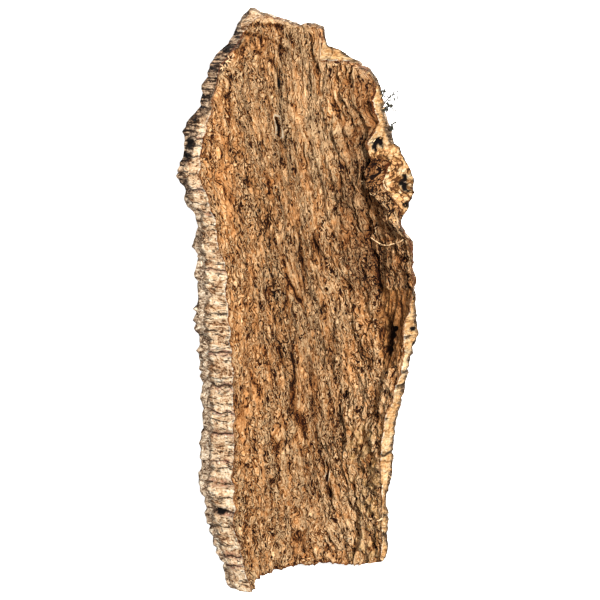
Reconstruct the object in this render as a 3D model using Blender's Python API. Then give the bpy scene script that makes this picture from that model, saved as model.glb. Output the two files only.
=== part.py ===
"""A half-pipe of virgin cork bark, lying on its back with the hollow side up.

The bark is one solid. Its form is a curved wall: an inner face, a furrowed outer face, two long
broken rims, a ragged top end and a bottom end cut nearly square. +Y runs along the grain towards
the ragged end, +X to the right, +Z up. Lengths in the tables are millimetres.
"""

import bpy
import numpy as np
from mathutils import Vector, noise

MM = 0.001

# The lattice that the wall is drawn on: steps across the curve, along the grain, through the wall.
# It is thinned afterwards to the number of triangles that the part may have.
ACROSS, ALONG, THROUGH = 96, 156, 8
TRIANGLES = 11900

# The point of the tables' frame that stands over the middle of the footprint.
FOOTPRINT_CENTRE = (0.2, -6.3)

# The trough: (along the grain, value). The valley line wanders, and the two walls curve apart.
VALLEY_X = ((-250, 8), (-80, 10), (10, 10), (90, 2), (170, -6), (240, -12))
LEFT_RADIUS = ((-230, 56), (-80, 65), (0, 72), (110, 83), (240, 86))
RIGHT_RADIUS = ((-230, 61), (-150, 58), (-80, 66), (-20, 75), (10, 81), (60, 83), (240, 86))
LEFT_REACH = ((115, 80), (170, 50), (215, 30), (245, 22))
RIGHT_REACH = ((40, 80), (80, 70), (110, 48), (140, 50), (170, 55), (200, 50))
RIGHT_OUTER_REACH = ((40, 80), (80, 74), (110, 64), (135, 56), (170, 57), (200, 51))
BOW_RISE, BOW_HALF_LENGTH = 6.0, 250.0
BROW_DROP = 7.0

# The wall's thickness at the left rim, in the valley and at the right rim.
LEFT_WALL = ((-260, 20), (-200, 24), (90, 24), (150, 18), (245, 13))
VALLEY_WALL = ((-260, 16), (0, 18), (245, 14))
RIGHT_WALL = ((-230, 9), (-120, 10), (-30, 12), (60, 13), (95, 20), (140, 16), (190, 12))

# Plan lines of the rims, as (along the grain, sideways): the lip is the edge of the inner face,
# and the brow is the edge of the outer face.
LEFT_LIP = (
    (-257, -43), (-231, -50), (-193, -58), (-155, -58), (-118, -56), (-64, -57), (-11, -61),
    (40, -63), (50, -66), (71, -69), (92, -75), (109, -81), (124, -82), (141, -78), (163, -72),
    (199, -65), (212, -54), (226, -47), (240, -45),
)
LEFT_BROW = (
    (-262, -55), (-259, -61), (-253, -65), (-231, -71), (-205, -79), (-176, -84), (-160, -89),
    (-142, -88), (-130, -86),
    (-111, -84), (-57, -86), (-30, -86), (-5, -89), (10, -85), (28, -88), (40, -85), (54, -90),
    (68, -86), (80, -86), (86, -94), (98, -95), (113, -100), (125, -97), (144, -96), (156, -93), (163, -85),
    (187, -80), (208, -72), (215, -61), (230, -54), (243, -47),
)
RIGHT_LIP = (
    (-229, 72), (-150, 70), (-133, 69), (-100, 72), (-88, 77), (-66, 82), (-39, 88), (-17, 87),
    (4, 91), (20, 94), (45, 92), (58, 89), (61, 85), (73, 74), (83, 70), (93, 62), (102, 56),
    (121, 60), (136, 57), (145, 64), (153, 65), (161, 60), (172, 57), (185, 61), (190, 58),
)
RIGHT_BROW = (
    (-231, 75), (-218, 78), (-185, 77), (-176, 75), (-149, 80), (-111, 82), (-80, 88),
    (-49, 94), (-24, 100), (-7, 97), (10, 97), (57, 93), (67, 85), (78, 86), (84, 91),
    (96, 95), (108, 94), (129, 85), (136, 78), (156, 74), (176, 68), (195, 63),
)

# The two ends, as (share of the way across, along the grain).
TOP_BROW = (
    (0, 240), (0.05, 247), (0.12, 245), (0.21, 241), (0.34, 236), (0.44, 232), (0.48, 235),
    (0.585, 231), (0.6, 226), (0.615, 215), (0.71, 212), (0.81, 205), (0.88, 198), (0.96, 195),
    (1, 190),
)
TOP_LIP = (
    (0, 226), (0.07, 232), (0.21, 233), (0.44, 231), (0.48, 233), (0.585, 228), (0.6, 222),
    (0.62, 203), (0.81, 199), (0.9, 197), (1, 184),
)
TOP_TREND = ((0, 240), (0.4, 233), (1, 192))
BOTTOM_EDGE = (
    (0, -259), (0.04, -258), (0.1, -254), (0.2, -253), (0.3, -254), (0.42, -252), (0.5, -253), (0.62, -250), (0.75, -246),
    (0.88, -238), (1, -228),
)

# Relief: how wide a ridge or plate is, how far it runs along the grain, and its height or depth.
PLATE_WIDTH, PLATE_LENGTH, FURROW_DEPTH = 27.0, 58.0, 7.0
SWELL_WIDTH, SWELL_LENGTH, SWELL_HEIGHT = 20.0, 34.0, 2.6
WAVE_WIDTH, WAVE_LENGTH, WAVE_HEIGHT = 40.0, 110.0, 2.6
FOLD_WIDTH, FOLD_LENGTH, FOLD_HEIGHT = 15.0, 44.0, 2.4
KNOB_WIDTH, KNOB_LENGTH, KNOB_HEIGHT = 8.0, 15.0, 1.3
CHIP_LENGTH, CHIP_HEIGHT, CHIP_REACH = 9.0, 2.4, 2.6
CRACK_SPACING, CRACK_DEPTH = 17.0, 3.0
CRUMB_LENGTH, CRUMB_HEIGHT = 9.0, 3.2
CRUMBLED = ((50, 0), (68, 1), (120, 1), (140, 0))

# The folds slant across the grain in the lower half: (along the grain, sideways shift).
FOLD_SLANT = ((-260, -40), (-100, 0), (20, 42), (120, 55), (250, 57))

# Bumps and hollows of the inner face: sideways arc, along the grain, half width, half length, height.
INNER_LANDMARKS = (
    (52, 168, 26, 30, 7.0),
    (64, 118, 12, 34, -4.5),
    (-10, 205, 26, 9, 2.6),
    (14, 6, 6, 7, 3.0),
    (30, -130, 6, 34, -3.0),
    (76, -18, 8, 22, -3.0),
)

# The bark rests on a broad plate left of the valley, under its weight, worn to a flat.
REST_PLATE = (-30, -5, 26, 120, 5.0)
REST_DEPTH = 17.0
WORN_WITHIN = 0.0005
THINNEST_WALL = 6.0


def along(table, y):
    """Reads a table of (station, value) at the stations y, with straight runs between its rows."""
    stations, values = zip(*table)
    return np.interp(y, stations, values)


def field(x, y, layer):
    """Smooth noise from -1 to 1 at the points x, y of one layer."""
    spots = zip(x.ravel(), y.ravel())
    values = (noise.noise(Vector((a, b, layer))) for a, b in spots)
    return np.fromiter(values, float, x.size).reshape(x.shape)


def cell_edge(x, y, layer):
    """How far each point lies from the border of its cell, from 0 on the border."""
    spots = zip(x.ravel(), y.ravel())
    distances = (noise.voronoi(Vector((a, b, layer)))[0] for a, b in spots)
    values = (second - first for first, second, *_ in distances)
    return np.fromiter(values, float, x.size).reshape(x.shape)


def smooth_step(value, low, high):
    share = np.clip((value - low) / (high - low), 0, 1)
    return share * share * (3 - 2 * share)


def bump(arc, y, landmark):
    x0, y0, half_width, half_length, rise = landmark
    return rise * np.exp(-(((arc - x0) / half_width) ** 2) - ((y - y0) / half_length) ** 2)


def inner_relief(arc, y):
    """Height of the inner face's folds and swellings, towards the hollow."""
    drift = 9 * field(arc / 60, y / 90, 3.1)
    slanted = arc + drift + along(FOLD_SLANT, y) * smooth_step(arc, -90, 70)
    height = WAVE_HEIGHT * field(slanted / WAVE_WIDTH, y / WAVE_LENGTH, 0.7)
    folds = np.abs(field(slanted / FOLD_WIDTH, y / FOLD_LENGTH, 5.3))
    height += FOLD_HEIGHT * (1 - 4 * folds)
    height += KNOB_HEIGHT * field(slanted / KNOB_WIDTH, y / KNOB_LENGTH, 4.9)
    for landmark in INNER_LANDMARKS:
        height += bump(arc, y, landmark)
    return height


def outer_relief(arc, y):
    """Height of the outer face's plates above its furrows."""
    bend = 7 * field(arc / 45, y / 70, 8.2)
    edge = cell_edge((arc + bend) / PLATE_WIDTH, (y + bend) / PLATE_LENGTH, 1.4)
    plates = smooth_step(edge, 0.02, 0.34)
    swell = SWELL_HEIGHT * field(arc / SWELL_WIDTH, y / SWELL_LENGTH, 6.6)
    return swell + FURROW_DEPTH * (plates - 0.7) + bump(arc, y, REST_PLATE)


def wall_points(across, length, through):
    """Points of the wall, in millimetres.

    across runs from 0 at the left rim to 1 at the right, length from 0 at the bottom end to 1 at
    the top, and through from 0 on the inner face to 1 on the outer.
    """
    top = along(TOP_LIP, across) * (1 - through) + along(TOP_BROW, across) * through
    trend = along(TOP_TREND, across)
    bottom = along(BOTTOM_EDGE, across)
    y = bottom + length * (trend - bottom) + (top - trend) * length**8

    left_reach = np.radians(along(LEFT_REACH, y))
    right_reach = np.radians(
        along(RIGHT_REACH, y) * (1 - through) + along(RIGHT_OUTER_REACH, y) * through
    )
    angle = -left_reach + across * (left_reach + right_reach)
    on_left = angle < 0
    radius = np.where(on_left, along(LEFT_RADIUS, y), along(RIGHT_RADIUS, y))
    reach = np.where(on_left, left_reach, right_reach)
    towards_rim = np.abs(angle) / reach

    rim_wall = np.where(on_left, along(LEFT_WALL, y), along(RIGHT_WALL, y))
    valley_wall = along(VALLEY_WALL, y)
    wall = valley_wall + (rim_wall - valley_wall) * smooth_step(towards_rim, 0, 1)

    arc = angle * 80
    at_rim = smooth_step(towards_rim, 0.85, 1)
    inner = -inner_relief(arc, y) * (1 - at_rim)
    outer = wall + outer_relief(arc, y) * np.minimum(wall / 16, 1) * (1 - at_rim)
    outer = np.maximum(outer, inner + THINNEST_WALL)
    depth = inner + (outer - inner) * through
    x = along(VALLEY_X, y) + (radius + depth) * np.sin(angle)
    z = radius - (radius + depth) * np.cos(angle)

    # The rims keep to their plan lines, and the pull fades out towards the valley.
    side = np.where(on_left, -1, 1)
    lip = np.where(on_left, along(LEFT_LIP, y), along(RIGHT_LIP, y))
    brow = np.where(on_left, along(LEFT_BROW, y), along(RIGHT_BROW, y))
    smooth_lip = along(VALLEY_X, y) + side * radius * np.sin(reach)
    smooth_brow = along(VALLEY_X, y) + side * (radius + rim_wall) * np.sin(reach)
    pull = (lip - smooth_lip) * (1 - through) + (brow - smooth_brow) * through
    x = x + pull * towards_rim**4
    chips = field(y / CHIP_LENGTH, side * 3.0 + through, 2.5)
    teeth = field(y / CHIP_LENGTH, side * 5.0 + 1.5 * through, 9.5)
    brow_drop = BROW_DROP * rim_wall / 24 * smooth_step(through, 0.5, 1)
    x = x + side * CHIP_REACH * teeth * at_rim * np.minimum(rim_wall / 20, 1)
    cracks = field(y / CRACK_SPACING, side * 2.0 + 0.3 * through, 7.1)
    crack = CRACK_DEPTH * (1 - smooth_step(np.abs(cracks), 0, 0.09))
    crumbled = np.where(on_left, 0, along(CRUMBLED, y))
    crumbs = CRUMB_HEIGHT * crumbled * field(x / CRUMB_LENGTH, y / CRUMB_LENGTH, 3.7)
    z = z + (CHIP_HEIGHT * chips + crumbs - crack - brow_drop) * at_rim
    z = z + BOW_RISE * (y / BOW_HALF_LENGTH) ** 2

    # The back is worn flat where it rests.
    z = np.maximum(z + REST_DEPTH, 0)
    return np.stack([x - FOOTPRINT_CENTRE[0], y - FOOTPRINT_CENTRE[1], z], axis=-1)


def box_lattice(counts):
    """The shell of a block of counts cells: its points as whole steps, and its four-sided faces."""
    index, steps, faces = {}, [], []

    def corner(step):
        if step not in index:
            index[step] = len(steps)
            steps.append(step)
        return index[step]

    for axis in range(3):
        first, second = (axis + 1) % 3, (axis + 2) % 3
        for end in (0, counts[axis]):
            for i in range(counts[first]):
                for j in range(counts[second]):
                    ring = []
                    for di, dj in ((0, 0), (1, 0), (1, 1), (0, 1)):
                        step = [0, 0, 0]
                        step[axis], step[first], step[second] = end, i + di, j + dj
                        ring.append(corner(tuple(step)))
                    faces.append(ring if end == 0 else ring[::-1])
    return np.array(steps, float), faces


def bark_material():
    material = bpy.data.materials.new("cork")
    material.use_nodes = True
    shader = material.node_tree.nodes["Principled BSDF"]
    shader.inputs["Base Color"].default_value = (0.36, 0.20, 0.09, 1)
    shader.inputs["Roughness"].default_value = 0.9
    shader.inputs["Metallic"].default_value = 0.0
    return material


def thinned(bark):
    """The mesh of the bark with its triangles cut down to the number that the part may have."""
    thinning = bark.modifiers.new("thinning", "DECIMATE")
    thinning.ratio = TRIANGLES / (2 * len(bark.data.polygons))
    graph = bpy.context.evaluated_depsgraph_get()
    mesh = bpy.data.meshes.new_from_object(bark.evaluated_get(graph))
    bark.modifiers.clear()
    return mesh


def lay_flat(mesh):
    """Puts the worn points of the back into one plane, which the thinning moves a little."""
    for point in mesh.vertices:
        if point.co.z < WORN_WITHIN:
            point.co.z = 0


def make_bark():
    counts = (ACROSS, ALONG, THROUGH)
    steps, faces = box_lattice(counts)
    across, length, through = (steps / counts).T
    points = wall_points(across, length, through) * MM
    mesh = bpy.data.meshes.new("bark")
    mesh.from_pydata(points.tolist(), [], faces)
    mesh.materials.append(bark_material())
    mesh.shade_smooth()
    bark = bpy.data.objects.new("bark", mesh)
    bpy.context.scene.collection.objects.link(bark)
    bark.data = thinned(bark)
    lay_flat(bark.data)
    bark.data.set_sharp_from_angle(angle=np.radians(60))
    return bark


for leftover in list(bpy.data.objects):
    bpy.data.objects.remove(leftover)
make_bark()
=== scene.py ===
"""Looks of a half-pipe of virgin cork bark, lying on its back on a pale floor.

The bark is drawn again on a finer lattice than in the CAD, from the same tables, with wrinkles, pits,
cracks and torn edges. Its one material has three finishes: the ridged inner face, the cream cork of
the broken rims, and the grey-brown outer plates. Loose fibres, moss and crumbs of cork ride on it.
Lengths in the tables are millimetres and angles are degrees.
"""

import math
import random

import bmesh
import bpy
import numpy as np
from mathutils import Euler, Matrix, Vector, noise


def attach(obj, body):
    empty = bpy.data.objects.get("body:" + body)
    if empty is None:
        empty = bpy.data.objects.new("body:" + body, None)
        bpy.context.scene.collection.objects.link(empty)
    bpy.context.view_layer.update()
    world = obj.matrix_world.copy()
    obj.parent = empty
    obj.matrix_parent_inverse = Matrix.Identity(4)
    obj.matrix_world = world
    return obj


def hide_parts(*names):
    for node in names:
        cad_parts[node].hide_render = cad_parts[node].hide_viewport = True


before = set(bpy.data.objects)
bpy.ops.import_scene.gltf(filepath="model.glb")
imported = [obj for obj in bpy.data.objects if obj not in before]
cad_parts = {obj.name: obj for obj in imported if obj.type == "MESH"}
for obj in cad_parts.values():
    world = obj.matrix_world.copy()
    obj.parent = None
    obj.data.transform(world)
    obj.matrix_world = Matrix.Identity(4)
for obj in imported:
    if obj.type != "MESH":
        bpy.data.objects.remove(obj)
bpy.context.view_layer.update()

MM = 0.001
# The studio light brightens what it falls on, so the colours of the finishes are this much darker.
LIGHT_SHARE = 0.74

# The lattice of the wall: steps across the curve, along the grain, through the wall.
ACROSS, ALONG, THROUGH = 212, 296, 15
# The sideways arc is the angle times one radius everywhere. The bark is about this long.
ARC_RADIUS, GRAIN_LENGTH = 80.0, 490.0
# The spot that the lamps are aimed at, in metres.
LIGHT_TARGET = (0, 0, 0.03)

# The tables below, up to the relief, are those of the CAD.
FOOTPRINT_CENTRE = (0.2, -6.3)
VALLEY_X = ((-250, 8), (-80, 10), (10, 10), (90, 2), (170, -6), (240, -12))
LEFT_RADIUS = ((-230, 56), (-80, 65), (0, 72), (110, 83), (240, 86))
RIGHT_RADIUS = ((-230, 61), (-150, 58), (-80, 66), (-20, 75), (10, 81), (60, 83), (240, 86))
LEFT_REACH = ((115, 80), (170, 50), (215, 30), (245, 22))
RIGHT_REACH = ((40, 80), (80, 70), (110, 48), (140, 50), (170, 55), (200, 50))
RIGHT_OUTER_REACH = ((40, 80), (80, 74), (110, 64), (135, 56), (170, 57), (200, 51))
BOW_RISE, BOW_HALF_LENGTH = 6.0, 250.0
BROW_DROP = 7.0
LEFT_WALL = ((-260, 20), (-200, 24), (90, 24), (150, 18), (245, 13))
VALLEY_WALL = ((-260, 16), (0, 18), (245, 14))
RIGHT_WALL = ((-230, 9), (-120, 10), (-30, 12), (60, 13), (95, 20), (140, 16), (190, 12))
LEFT_LIP = (
    (-257, -43), (-231, -50), (-193, -58), (-155, -58), (-118, -56), (-64, -57), (-11, -61),
    (40, -63), (50, -66), (71, -69), (92, -75), (109, -81), (124, -82), (141, -78), (163, -72),
    (199, -65), (212, -54), (226, -47), (240, -45),
)
LEFT_BROW = (
    (-262, -55), (-259, -61), (-253, -65), (-231, -71), (-205, -79), (-176, -84), (-160, -89),
    (-142, -88), (-130, -86), (-111, -84), (-57, -86), (-30, -86), (-5, -89), (10, -85), (28, -88),
    (40, -85), (54, -90), (68, -86), (80, -86), (86, -94), (98, -95), (113, -100), (125, -97),
    (144, -96), (156, -93), (163, -85), (187, -80), (208, -72), (215, -61), (230, -54), (243, -47),
)
RIGHT_LIP = (
    (-229, 72), (-150, 70), (-133, 69), (-100, 72), (-88, 77), (-66, 82), (-39, 88), (-17, 87),
    (4, 91), (20, 94), (45, 92), (58, 89), (61, 85), (73, 74), (83, 70), (93, 62), (102, 56),
    (121, 60), (136, 57), (145, 64), (153, 65), (161, 60), (172, 57), (185, 61), (190, 58),
)
RIGHT_BROW = (
    (-231, 75), (-218, 78), (-185, 77), (-176, 75), (-149, 80), (-111, 82), (-80, 88),
    (-49, 94), (-24, 100), (-7, 97), (10, 97), (57, 93), (67, 85), (78, 86), (84, 91),
    (96, 95), (108, 94), (129, 85), (136, 78), (156, 74), (176, 68), (195, 63),
)
TOP_BROW = (
    (0, 240), (0.05, 247), (0.12, 245), (0.21, 241), (0.34, 236), (0.44, 232), (0.48, 235),
    (0.585, 231), (0.6, 226), (0.615, 215), (0.71, 212), (0.81, 205), (0.88, 198), (0.96, 195),
    (1, 190),
)
TOP_LIP = (
    (0, 226), (0.07, 232), (0.21, 233), (0.44, 231), (0.48, 233), (0.585, 228), (0.6, 222),
    (0.62, 203), (0.81, 199), (0.9, 197), (1, 184),
)
TOP_TREND = ((0, 240), (0.4, 233), (1, 192))
BOTTOM_EDGE = (
    (0, -259), (0.04, -258), (0.1, -254), (0.2, -253), (0.3, -254), (0.42, -252), (0.5, -253),
    (0.62, -250), (0.75, -246), (0.88, -238), (1, -228),
)

# Broad relief, the same as in the CAD.
PLATE_WIDTH, PLATE_LENGTH, FURROW_DEPTH = 27.0, 58.0, 7.0
SWELL_WIDTH, SWELL_LENGTH, SWELL_HEIGHT = 20.0, 34.0, 2.6
WAVE_WIDTH, WAVE_LENGTH, WAVE_HEIGHT = 40.0, 110.0, 2.6
FOLD_WIDTH, FOLD_LENGTH, FOLD_HEIGHT = 15.0, 44.0, 2.4
KNOB_WIDTH, KNOB_LENGTH, KNOB_HEIGHT = 8.0, 15.0, 1.3
CHIP_LENGTH, CHIP_HEIGHT, CHIP_REACH = 9.0, 2.4, 2.6
CRACK_SPACING, CRACK_DEPTH = 17.0, 3.0
CRUMB_LENGTH, CRUMB_HEIGHT = 9.0, 3.2
CRUMBLED = ((50, 0), (68, 1), (120, 1), (140, 0))
FOLD_SLANT = ((-260, -40), (-100, 0), (20, 42), (120, 55), (250, 57))
INNER_LANDMARKS = (
    (52, 168, 26, 30, 7.0),
    (64, 118, 12, 34, -4.5),
    (-10, 205, 26, 9, 2.6),
    (14, 6, 6, 7, 3.0),
    (30, -130, 6, 34, -3.0),
    (76, -18, 8, 22, -3.0),
)
REST_PLATE = (-30, -5, 26, 120, 5.0)
REST_DEPTH = 17.0
THINNEST_WALL = 6.0

# Shares of the way from the valley to a rim where the rim begins, and where its broken edge does.
RIM_START, EDGE_START = 0.85, 0.97
# Walls from which the outer plates, the chips, the rims' relief and the dropped brow are at their full.
PLATED_WALL, CHIPPED_WALL, BROKEN_WALL, DROPPED_WALL = 16.0, 20.0, 12.0, 24.0

# Fine relief, which only the looks have: width, length and height of the rounded kinds.
WORMS = (5.2, 15.0, 1.6)
BEADS = (3.2, 7.0, 0.8)
LUMPS = (9.0, 14.0, 1.2)
STRANDS = (3.1, 60.0, 1.1)
PIT_WIDTH, PIT_LENGTH, PIT_DEPTH, PIT_RIM = 8.0, 12.0, 2.4, 0.8
TORN_DEPTH = 1.5
# Seams: spacing across and along, depth, layer of the noise.
SEAMS = ((11.0, 46.0, 1.2, 8.3), (17.0, 70.0, 2.0, 6.1), (27.0, 120.0, 2.6, 3.4))
SEAM_WIDTH, SEAM_CREST = 1.3, 0.5
# Painted shade in the seams and painted highlight on the crest beside each.
SEAM_DARKNESS, CREST_BRIGHTNESS = 0.13, 0.09
NODULE_WIDTH, NODULE_LENGTH, NODULE_HEIGHT = 8.5, 9.0, 2.6

# Paths and outlines on the inner face are lists of (sideways arc, along the grain).
CALM_PATH = ((-72, 160), (-78, 62), (-86, 11), (-86, -42), (-80, -88), (-76, -140))
CALM_WIDTH, CALM_SHARE = 20.0, 0.6
ASHEN_PATHS = (
    ((-53, 120), (-42, 93), (-36, 71), (-37, 49), (-37, 23), (-34, -4), (-30, -40), (-20, -79)),
    ((-7, 58), (0, 21), (8, -20)),
    ((-8, 191), (-10, 173), (-14, 120)),
)
ASHEN_WIDTH = 8.0
# The dusk zone: the darker brown of the right wall and, at its upper end by the right rim's lump, painted
# shade of the hollow there.
DUSK_OUTLINE = (
    (30, 100), (50, 190), (72, 190), (80, 96), (104, 69), (106, 38), (107, 15), (65, -1), (41, 0),
    (22, 39),
)
TORN_OUTLINE = (
    (66, 10), (110, 17), (112, 8), (110, -20), (106, -41), (99, -54), (84, -63), (74, -44), (69, -18),
)
NODULE_OUTLINE = ((45, -120), (110, -105), (112, -232), (50, -240), (62, -185))

# Paler and darker parts of the inner face, some of them painted light and shade: middle, half width, half
# length, change.
TONE_SPOTS = (
    # Painted shade at the shelf of the ragged end.
    (-18, 216, 30, 16, -0.18),
    # Painted light on the upper middle.
    (8, 150, 26, 60, 0.2),
    # Painted light low on the right.
    (74, -190, 30, 70, 0.2),
    (-62, 20, 20, 150, -0.06),
    # More painted light low on the right.
    (74, -190, 20, 40, 0.06),
    # Painted shadow in the hollow beside the right rim's lump.
    (70, 110, 14, 40, -0.15),
    (-84, 20, 12, 140, 0.05),
)
# Painted shade in the grooves and painted highlight on the crest beside each.
GROOVE_DARKNESS, GROOVE_BRIGHTNESS = 0.09, 0.07

# Edges of the layers that broke off at the ragged end.
UPPER_EDGE = ((-34, 232), (-20, 233), (-8, 232), (-1, 230), (3, 225), (4, 214))
MIDDLE_EDGE = ((-38, 226), (-20, 223), (-10, 218), (-4, 211), (-2, 201))
LOWER_EDGE = ((-28, 211), (-15, 203), (-8, 191), (-10, 173))
# Steps of those layers: path, rise, width of the step on its left, and on its right.
LEDGES = (
    (UPPER_EDGE, 4.5, 12.0, 1.0),
    (MIDDLE_EDGE, 3.6, 6.0, 1.0),
    (LOWER_EDGE, 2.4, 5.0, 1.0),
)
# Single grooves: path, half width, depth.
GROOVES = (
    (((2, -94), (2, -112), (6, -128), (11, -148), (17, -163), (20, -172), (24, -186)), 1.9, 4.2),
    (((19, -105), (30, -130), (45, -150), (56, -170), (68, -200), (80, -206), (94, -211)), 1.3, 2.6),
    (((-4, -58), (-2, -80)), 1.1, 2.2),
    (((19, -56), (22, -66), (27, -88)), 1.2, 2.4),
    (((64, -38), (67, -50), (71, -68)), 1.1, 2.2),
    (((-23, -180), (-19, -192), (-15, -204)), 1.1, 2.2),
    (((-10, -222), (-8, -232), (-5, -241)), 1.2, 2.6),
    (((-41, -37), (-38, -48), (-34, -63)), 1.3, 2.4),
    (((41, 71), (50, 60), (56, 51), (63, 30)), 1.3, 2.4),
    (((30, 64), (37, 48), (43, 29)), 1.2, 2.2),
    (((45, 31), (52, 14), (58, -4)), 1.3, 2.4),
    (((44, -230), (47, -246)), 1.3, 3.0),
    (((57, -226), (59, -246)), 1.0, 2.4),
    (((76, 8), (78, -3), (76, -13), (78, -22)), 0.9, 3.0),
    (((66, -4), (68, -23), (73, -41), (80, -55)), 1.4, 3.0),
    (((94, 6), (99, -10), (106, -28), (106, -48)), 1.8, 3.0),
    (((86, 12), (86, 0), (88, -12)), 1.2, 2.0),
    (((21, 230), (19, 212), (21, 195), (22, 174)), 1.5, 3.0),
    (((76, 190), (77, 178), (77, 160), (72, 140)), 1.6, 2.6),
    (UPPER_EDGE, 1.6, 4.5),
    (MIDDLE_EDGE, 1.6, 4.5),
    (LOWER_EDGE, 1.4, 3.5),
)
# Slits with raised pale edges: path, half width, depth. Knots, a hole in a raised ring: middle,
# radius, rise.
SLITS = (
    (((19, -157), (21, -165), (19, -173)), 1.2, 4.0),
    (((-15, 154), (-14, 147), (-15, 139)), 1.2, 4.5),
)
KNOTS = (
    (14, 4, 3.2, 2.4), (-8, -217, 2.6, 1.4), (20, -228, 2.4, 1.4), (52, -224, 2.2, 1.2),
    (-63, -128, 2, 1),
)

# Holes in the inner face, painted near black as shade: middle, half width, half length, depth.
HOLLOWS = ((85, -31, 9.5, 18.0, 7.0), (62, 118, 4.0, 16.0, 3.5), (-10, 184, 1.6, 5.0, 3.0))

# Cross-cracks of the left and the right rim, at these places along the grain.
LEFT_CRACKS = (
    -262, -248, -235, -227, -211, -200, -184, -172, -158, -144, -139, -130, -121, -113, -101, -94,
    -86, -70, -58, -39, -29, -20, -6, 13, 21, 33, 37, 43, 60, 70, 82, 88, 100, 112, 123, 127, 134,
    139, 155, 161, 168, 174, 181, 190, 205, 216, 230, 250,
)
RIGHT_CRACKS = (
    -262, -232, -205, -188, -140, -133, -98, -70, -56, -25, -3, 20, 44, 60, 78, 96, 110, 121, 134,
    146, 160, 172, 186, 200, 250,
)
# Dips and lumps of the rims: place along the grain, share of the way out, half sizes, rise.
LEFT_RIM_MARKS = ((-178, 0.45, 2.0, 9.0, 2.2), (115, 0.95, 11.0, 4.0, 1.5), (86, 0.3, 2.0, 9.0, -2.5))
RIGHT_RIM_MARKS = (
    (127, 0.5, 4.0, 8.0, 3.0), (108, 0.32, 14.0, 6.0, -2.5), (137, 0.85, 7.0, 4.0, -2.0),
    (-136, 0.5, 3.0, 4.0, -2.5), (-22, 0.5, 12.0, 6.0, 1.5), (118, 0.78, 7.0, 3.5, 3.0),
    (72, 0.4, 4.0, 4.0, 3.0),
)
# Holes of the rims, painted dark as shade: place along the grain, share of the way out, half sizes, share
# of the depth.
LEFT_RIM_HOLES = ((-184, 0.47, 3.0, 5.0, 1), (137, 0.72, 6.0, 3.4, 1), (127, 0.8, 2.0, 4.0, 1))
RIGHT_RIM_HOLES = (
    (136, 0.43, 4.4, 2.3, 1), (132, 0.22, 5.0, 1.3, 1), (102, 0.84, 7.5, 1.9, 1),
    (85, 0.88, 2.4, 1.3, 1), (8, 0.5, 2.0, 2.0, 1), (-18, 0.6, 2.0, 2.0, 1), (-32, 0.8, 1.8, 2.0, 1),
)
RIM_HOLE_DEPTH = 4.0
# How far the ragged ends reach in and out.
END_REACH = 1.4

# Loose fibres: the long one on the inner face as (arc, along); those of the right rim as place along
# the grain, share of the way out, reach sideways and along, width; nests as arc, along, length,
# width, count. Crumbs of the right rim: place along the grain, share of the way out, how far they
# stray from both, count. Moss tufts: place along the grain, share of the way out, size, stems.
ARC_FIBRE = ((59, 53), (69, 50), (80, 50), (90, 53), (104, 59))
RIM_FIBRES = (
    (139, 0.25, -4, -4, 0.9),
    (31, 0.3, 6, 4, 0.6), (29, 0.4, 8, -2, 0.5), (33, 0.2, 4, 6, 0.5), (-145, 0.6, 3, 5, 0.4),
    (-150, 0.7, 4, -3, 0.4), (-189, 0.15, -5, -3, 1.4), (56, 0.8, 4, 4, 0.6), (86, 0.9, 3, -5, 0.6),
    (150, 0.9, 3, 4, 0.5), (163, 0.8, 4, 2, 0.5), (171, 0.7, 2, 4, 0.5), (-236, 0.3, -3, 3, 1.2),
)
FIBRE_NESTS = (
    (-62, 203, 4.0, 0.8, 12), (60, 100, 3.0, 0.4, 4), (64, 62, 3.0, 0.4, 5), (92, 88, 3.5, 0.4, 4),
)
CRUMB_NESTS = (
    (117, 0.7, 6.0, 0.2, 14), (103, 0.6, 9.0, 0.1, 14), (88, 0.65, 5.0, 0.25, 18),
    (127, 0.45, 4.0, 0.35, 12), (139, 0.44, 0.6, 0.03, 1), (72, 0.4, 5.0, 0.3, 7),
)
MOSS_TUFTS = ((178, 0.9, 5.0, 4), (170, 0.95, 11.0, 9), (164, 0.95, 7.0, 6), (149, 0.95, 5.0, 6))

# How far the inner face's finish reaches over each rim, and the outer crust from the brow.
LEFT_LIP_COVER = ((60, 0), (100, 0.5), (150, 1.5), (165, 3), (205, 3), (240, 0.5))
LEFT_CRUST = (
    (-260, 3), (-200, 5), (-185, 7), (-150, 9), (-120, 7), (-60, 8), (0, 9), (42, 7), (66, 5), (90, 5),
    (115, 5), (128, 6), (138, 10), (158, 8), (179, 9), (204, 12), (215, 10), (228, 7), (243, 5),
)
RIGHT_LIP_COVER = (
    (-250, 0), (20, 1), (40, 2), (61, 3), (67, 8), (73, 10), (83, 14), (98, 15), (121, 15), (123.5, 0),
    (148, 0), (158, 3), (175, 4), (190, 2),
)
RIGHT_CRUST = ((-230, 1), (60, 1.5), (80, 0), (125, 0), (138, 2.5), (155, 3), (170, 1), (200, 2))
TOP_LIP_COVER = (
    (0, 1), (0.05, 3), (0.1, 8), (0.3, 10), (0.5, 9), (0.605, 12), (0.61, 1), (0.7, 2), (0.78, 5), (1, 5),
)
TOP_CRUST = ((0, 5), (0.04, 3), (0.1, 2.5), (0.3, 3), (0.58, 3.5), (0.61, 0.5), (0.8, 1), (1, 3))
BOTTOM_CRUST = 1.5
# How pale the outer crust is at the left brow, at the right brow and away from both: weathered where pale,
# darker near the top of the left brow as painted shade.
LEFT_WEATHER_AND_SHADE = ((-260, 1), (60, 0.9), (95, 0.35), (125, 0.05), (200, 0), (226, 0), (240, 0.4))
RIGHT_WEATHER, EVEN_WEATHER = 0.3, 0.35

# Way from a lit edge of the inner face back to the dark line beside it.
LIT_SIDE = (-1.1, 0.0, 0.0)

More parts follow.
